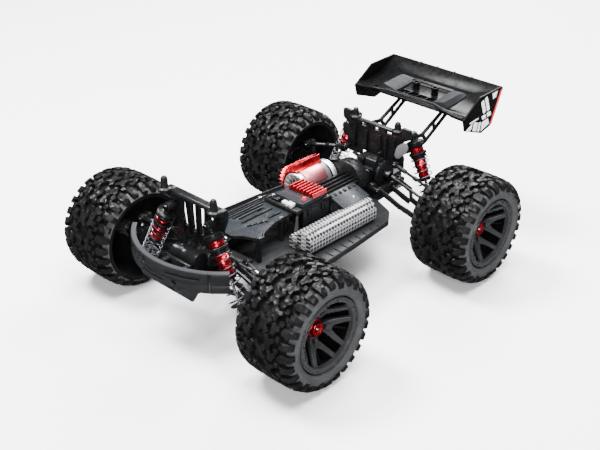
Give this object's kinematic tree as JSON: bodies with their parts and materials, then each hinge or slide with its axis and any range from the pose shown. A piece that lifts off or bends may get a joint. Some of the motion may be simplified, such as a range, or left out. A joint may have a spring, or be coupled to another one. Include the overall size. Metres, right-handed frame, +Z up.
{
  "type": "radio controlled truck",
  "caption": "Open radio-controlled truck chassis with long-travel suspension, big lugged tyres, curved bumper, exposed motor and a rear wing.",
  "frame": {"origin": "on the ground plane under the centre of the truck's bounding box", "axes": "+X forwards along the truck, +Y to its left, +Z up"},
  "size_m": [0.477, 0.35, 0.1746],
  "materials": {
    "black_plastic": "satin black moulded plastic",
    "grey_plastic": "satin dark grey moulded plastic",
    "rim_plastic": "satin dark grey moulded rim",
    "tyre_rubber": "black rubber",
    "red_aluminium": "red anodised",
    "steel": "bare steel",
    "battery_wrap": "silver and black diamond pattern wrap",
    "motor_can": "plated steel can"
  },
  "bodies": {
    "chassis": {"chassis_plate": "black_plastic", "front_gearbox": "black_plastic", "rear_gearbox": "black_plastic", "front_shock_tower": "black_plastic", "rear_shock_tower": "black_plastic", "front_bumper": "grey_plastic", "front_top_deck": "grey_plastic", "rear_gear_cover": "black_plastic", "battery_pack": "battery_wrap", "radio_box": "black_plastic", "speed_controller": "black_plastic", "motor": "motor_can", "motor_heat_sink": "red_aluminium", "wing_mount": "black_plastic", "wing": "black_plastic", "steering_servo": "black_plastic"},
    "centre_drive": {"centre_drive_shaft": "steel"},
    "pinion": {"motor_pinion": "steel"},
    "servo_arm": {"servo_horn": "black_plastic"},
    "rack": {"steering_rack": "black_plastic"},
    "arm_front_left": {"lower_arm_front_left": "black_plastic"},
    "link_front_left": {"camber_link_front_left": "black_plastic"},
    "shock_front_left": {"shock_body_front_left": "red_aluminium", "shock_spring_front_left": "steel"},
    "shaft_front_left": {"shock_shaft_front_left": "black_plastic"},
    "half_shaft_front_left": {"half_shaft_front_left": "steel"},
    "caster_left": {"caster_block_left": "black_plastic"},
    "wheel_front_left": {"rim_front_left": "rim_plastic", "tyre_front_left": "tyre_rubber"},
    "knuckle_left": {"steering_knuckle_left": "black_plastic"},
    "tie_rod_left": {"tie_rod_left": "steel"},
    "arm_rear_left": {"lower_arm_rear_left": "black_plastic"},
    "link_rear_left": {"camber_link_rear_left": "black_plastic"},
    "shock_rear_left": {"shock_body_rear_left": "red_aluminium", "shock_spring_rear_left": "steel"},
    "shaft_rear_left": {"shock_shaft_rear_left": "black_plastic"},
    "half_shaft_rear_left": {"half_shaft_rear_left": "steel"},
    "carrier_left": {"hub_carrier_left": "black_plastic"},
    "wheel_rear_left": {"rim_rear_left": "rim_plastic", "tyre_rear_left": "tyre_rubber"},
    "arm_front_right": {"lower_arm_front_right": "black_plastic"},
    "link_front_right": {"camber_link_front_right": "black_plastic"},
    "shock_front_right": {"shock_body_front_right": "red_aluminium", "shock_spring_front_right": "steel"},
    "shaft_front_right": {"shock_shaft_front_right": "black_plastic"},
    "half_shaft_front_right": {"half_shaft_front_right": "steel"},
    "caster_right": {"caster_block_right": "black_plastic"},
    "wheel_front_right": {"rim_front_right": "rim_plastic", "tyre_front_right": "tyre_rubber"},
    "knuckle_right": {"steering_knuckle_right": "black_plastic"},
    "tie_rod_right": {"tie_rod_right": "steel"},
    "arm_rear_right": {"lower_arm_rear_right": "black_plastic"},
    "link_rear_right": {"camber_link_rear_right": "black_plastic"},
    "shock_rear_right": {"shock_body_rear_right": "red_aluminium", "shock_spring_rear_right": "steel"},
    "shaft_rear_right": {"shock_shaft_rear_right": "black_plastic"},
    "half_shaft_rear_right": {"half_shaft_rear_right": "steel"},
    "carrier_right": {"hub_carrier_right": "black_plastic"},
    "wheel_rear_right": {"rim_rear_right": "rim_plastic", "tyre_rear_right": "tyre_rubber"}
  },
  "joints": [
    {"name": "centre_drive_spin", "type": "hinge", "parent": "chassis", "child": "centre_drive", "pos_m": [0, -0.006, 0.084], "axis": [1, 0, 0], "continuous": true},
    {"name": "pinion_spin", "type": "hinge", "parent": "chassis", "child": "pinion", "pos_m": [-0.064, -0.0345, 0.084], "axis": [1, 0, 0], "continuous": true},
    {"name": "arm_front_left_lift", "type": "hinge", "parent": "chassis", "child": "arm_front_left", "pos_m": [0.168, 0.026, 0.072], "axis": [1, 0, 0], "range_deg": [0, 26], "stiffness_Nm_per_rad": 5, "springref_deg": -20.63},
    {"name": "link_front_left_swing", "type": "hinge", "parent": "chassis", "child": "link_front_left", "pos_m": [0.1706, 0.036, 0.096], "axis": [1, 0, 0], "range_deg": [0, 32.08]},
    {"name": "shock_front_left_swing", "type": "hinge", "parent": "chassis", "child": "shock_front_left", "pos_m": [0.1886, 0.03, 0.136], "axis": [1, 0, 0], "range_deg": [0, 11.05]},
    {"name": "shock_front_left_stroke", "type": "slide", "parent": "shock_front_left", "child": "shaft_front_left", "axis": [0, -0.4866, 0.8736], "range_m": [0, 0.01786], "deforming": ["shock_spring_front_left"]},
    {"name": "half_shaft_front_left_swing", "type": "hinge", "parent": "chassis", "child": "half_shaft_front_left", "pos_m": [0.168, 0.0305, 0.084], "axis": [1, 0, 0], "range_deg": [0, 28.34]},
    {"name": "caster_left_swing", "type": "hinge", "parent": "arm_front_left", "child": "caster_left", "pos_m": [0.168, 0.104, 0.044], "axis": [1, 0, 0], "range_deg": [-14.52, 0]},
    {"name": "steer_left", "type": "hinge", "parent": "caster_left", "child": "knuckle_left", "pos_m": [0.168, 0.106, 0.0625], "axis": [0, 0, 1], "range_deg": [-22, 22]},
    {"name": "wheel_front_left_spin", "type": "hinge", "parent": "knuckle_left", "child": "wheel_front_left", "pos_m": [0.168, 0.1375, 0.0625], "axis": [0, 1, 0], "continuous": true},
    {"name": "tie_rod_left_swing", "type": "hinge", "parent": "rack", "child": "tie_rod_left", "pos_m": [0.1395, 0.031, 0.072], "axis": [1, 0, 0], "range_deg": [0, 28.49]},
    {"name": "arm_rear_left_lift", "type": "hinge", "parent": "chassis", "child": "arm_rear_left", "pos_m": [-0.1, 0.026, 0.072], "axis": [1, 0, 0], "range_deg": [0, 26], "stiffness_Nm_per_rad": 5, "springref_deg": -20.63},
    {"name": "link_rear_left_swing", "type": "hinge", "parent": "chassis", "child": "link_rear_left", "pos_m": [-0.094, 0.038, 0.105], "axis": [1, 0, 0], "range_deg": [0, 32.85]},
    {"name": "shock_rear_left_swing", "type": "hinge", "parent": "chassis", "child": "shock_rear_left", "pos_m": [-0.118, 0.0425, 0.136], "axis": [1, 0, 0], "range_deg": [0, 10.56]},
    {"name": "shock_rear_left_stroke", "type": "slide", "parent": "shock_rear_left", "child": "shaft_rear_left", "axis": [0, -0.4045, 0.9145], "range_m": [0, 0.0206], "deforming": ["shock_spring_rear_left"]},
    {"name": "half_shaft_rear_left_swing", "type": "hinge", "parent": "chassis", "child": "half_shaft_rear_left", "pos_m": [-0.1, 0.0305, 0.084], "axis": [1, 0, 0], "range_deg": [0, 28.23]},
    {"name": "carrier_left_swing", "type": "hinge", "parent": "arm_rear_left", "child": "carrier_left", "pos_m": [-0.1, 0.104, 0.044], "axis": [1, 0, 0], "range_deg": [-20.88, 0]},
    {"name": "wheel_rear_left_spin", "type": "hinge", "parent": "carrier_left", "child": "wheel_rear_left", "pos_m": [-0.1, 0.1375, 0.0625], "axis": [0, 1, 0], "continuous": true},
    {"name": "arm_front_right_lift", "type": "hinge", "parent": "chassis", "child": "arm_front_right", "pos_m": [0.168, -0.026, 0.072], "axis": [-1, 0, 0], "range_deg": [0, 26], "stiffness_Nm_per_rad": 5, "springref_deg": -20.63},
    {"name": "link_front_right_swing", "type": "hinge", "parent": "chassis", "child": "link_front_right", "pos_m": [0.1706, -0.036, 0.096], "axis": [-1, 0, 0], "range_deg": [0, 32.08]},
    {"name": "shock_front_right_swing", "type": "hinge", "parent": "chassis", "child": "shock_front_right", "pos_m": [0.1886, -0.03, 0.136], "axis": [-1, 0, 0], "range_deg": [0, 11.05]},
    {"name": "shock_front_right_stroke", "type": "slide", "parent": "shock_front_right", "child": "shaft_front_right", "axis": [0, 0.4866, 0.8736], "range_m": [0, 0.01786], "deforming": ["shock_spring_front_right"]},
    {"name": "half_shaft_front_right_swing", "type": "hinge", "parent": "chassis", "child": "half_shaft_front_right", "pos_m": [0.168, -0.0305, 0.084], "axis": [-1, 0, 0], "range_deg": [0, 28.34]},
    {"name": "caster_right_swing", "type": "hinge", "parent": "arm_front_right", "child": "caster_right", "pos_m": [0.168, -0.104, 0.044], "axis": [-1, 0, 0], "range_deg": [-14.52, 0]},
    {"name": "steer_right", "type": "hinge", "parent": "caster_right", "child": "knuckle_right", "pos_m": [0.168, -0.106, 0.0625], "axis": [0, 0, 1], "range_deg": [-22, 22]},
    {"name": "wheel_front_right_spin", "type": "hinge", "parent": "knuckle_right", "child": "wheel_front_right", "pos_m": [0.168, -0.1375, 0.0625], "axis": [0, 1, 0], "continuous": true},
    {"name": "tie_rod_right_swing", "type": "hinge", "parent": "rack", "child": "tie_rod_right", "pos_m": [0.1395, -0.031, 0.072], "axis": [-1, 0, 0], "range_deg": [0, 28.49]},
    {"name": "arm_rear_right_lift", "type": "hinge", "parent": "chassis", "child": "arm_rear_right", "pos_m": [-0.1, -0.026, 0.072], "axis": [-1, 0, 0], "range_deg": [0, 26], "stiffness_Nm_per_rad": 5, "springref_deg": -20.63},
    {"name": "link_rear_right_swing", "type": "hinge", "parent": "chassis", "child": "link_rear_right", "pos_m": [-0.094, -0.038, 0.105], "axis": [-1, 0, 0], "range_deg": [0, 32.85]},
    {"name": "shock_rear_right_swing", "type": "hinge", "parent": "chassis", "child": "shock_rear_right", "pos_m": [-0.118, -0.0425, 0.136], "axis": [-1, 0, 0], "range_deg": [0, 10.56]},
    {"name": "shock_rear_right_stroke", "type": "slide", "parent": "shock_rear_right", "child": "shaft_rear_right", "axis": [0, 0.4045, 0.9145], "range_m": [0, 0.0206], "deforming": ["shock_spring_rear_right"]},
    {"name": "half_shaft_rear_right_swing", "type": "hinge", "parent": "chassis", "child": "half_shaft_rear_right", "pos_m": [-0.1, -0.0305, 0.084], "axis": [-1, 0, 0], "range_deg": [0, 28.23]},
    {"name": "carrier_right_swing", "type": "hinge", "parent": "arm_rear_right", "child": "carrier_right", "pos_m": [-0.1, -0.104, 0.044], "axis": [-1, 0, 0], "range_deg": [-20.88, 0]},
    {"name": "wheel_rear_right_spin", "type": "hinge", "parent": "carrier_right", "child": "wheel_rear_right", "pos_m": [-0.1, -0.1375, 0.0625], "axis": [0, 1, 0], "continuous": true},
    {"name": "rack_slide", "type": "slide", "parent": "chassis", "child": "rack", "axis": [0, 1, 0], "range_m": [-0.0085, 0.0085]},
    {"name": "servo_arm_turn", "type": "hinge", "parent": "chassis", "child": "servo_arm", "pos_m": [0.114, -0.0223, 0.086], "axis": [0, 0, 1], "range_deg": [-20, 20]}
  ],
  "couplings": [
    {"joint": "pinion_spin", "follows": "centre_drive_spin", "ratio": -2.3529},
    {"joint": "link_front_left_swing", "follows": "arm_front_left_lift", "ratio": 1.1954},
    {"joint": "shock_front_left_swing", "follows": "arm_front_left_lift", "ratio": 0.3865},
    {"joint": "shock_front_left_stroke", "follows": "arm_front_left_lift", "m_per_rad": 0.038245},
    {"joint": "half_shaft_front_left_swing", "follows": "arm_front_left_lift", "ratio": 1.0517},
    {"joint": "caster_left_swing", "follows": "arm_front_left_lift", "ratio": -0.5199},
    {"joint": "tie_rod_left_swing", "follows": "arm_front_left_lift", "ratio": 1.0572},
    {"joint": "link_rear_left_swing", "follows": "arm_rear_left_lift", "ratio": 1.2251},
    {"joint": "shock_rear_left_swing", "follows": "arm_rear_left_lift", "ratio": 0.3679},
    {"joint": "shock_rear_left_stroke", "follows": "arm_rear_left_lift", "m_per_rad": 0.044286},
    {"joint": "half_shaft_rear_left_swing", "follows": "arm_rear_left_lift", "ratio": 1.0475},
    {"joint": "carrier_left_swing", "follows": "arm_rear_left_lift", "ratio": -0.7647},
    {"joint": "link_front_right_swing", "follows": "arm_front_right_lift", "ratio": 1.1954},
    {"joint": "shock_front_right_swing", "follows": "arm_front_right_lift", "ratio": 0.3865},
    {"joint": "shock_front_right_stroke", "follows": "arm_front_right_lift", "m_per_rad": 0.038245},
    {"joint": "half_shaft_front_right_swing", "follows": "arm_front_right_lift", "ratio": 1.0517},
    {"joint": "caster_right_swing", "follows": "arm_front_right_lift", "ratio": -0.5199},
    {"joint": "steer_right", "follows": "steer_left", "ratio": 1},
    {"joint": "tie_rod_right_swing", "follows": "arm_front_right_lift", "ratio": 1.0572},
    {"joint": "link_rear_right_swing", "follows": "arm_rear_right_lift", "ratio": 1.2251},
    {"joint": "shock_rear_right_swing", "follows": "arm_rear_right_lift", "ratio": 0.3679},
    {"joint": "shock_rear_right_stroke", "follows": "arm_rear_right_lift", "m_per_rad": 0.044286},
    {"joint": "half_shaft_rear_right_swing", "follows": "arm_rear_right_lift", "ratio": 1.0475},
    {"joint": "carrier_right_swing", "follows": "arm_rear_right_lift", "ratio": -0.7647},
    {"joint": "rack_slide", "follows": "steer_left", "m_per_rad": -0.019512},
    {"joint": "servo_arm_turn", "follows": "steer_left", "ratio": -0.8128}
  ]
}
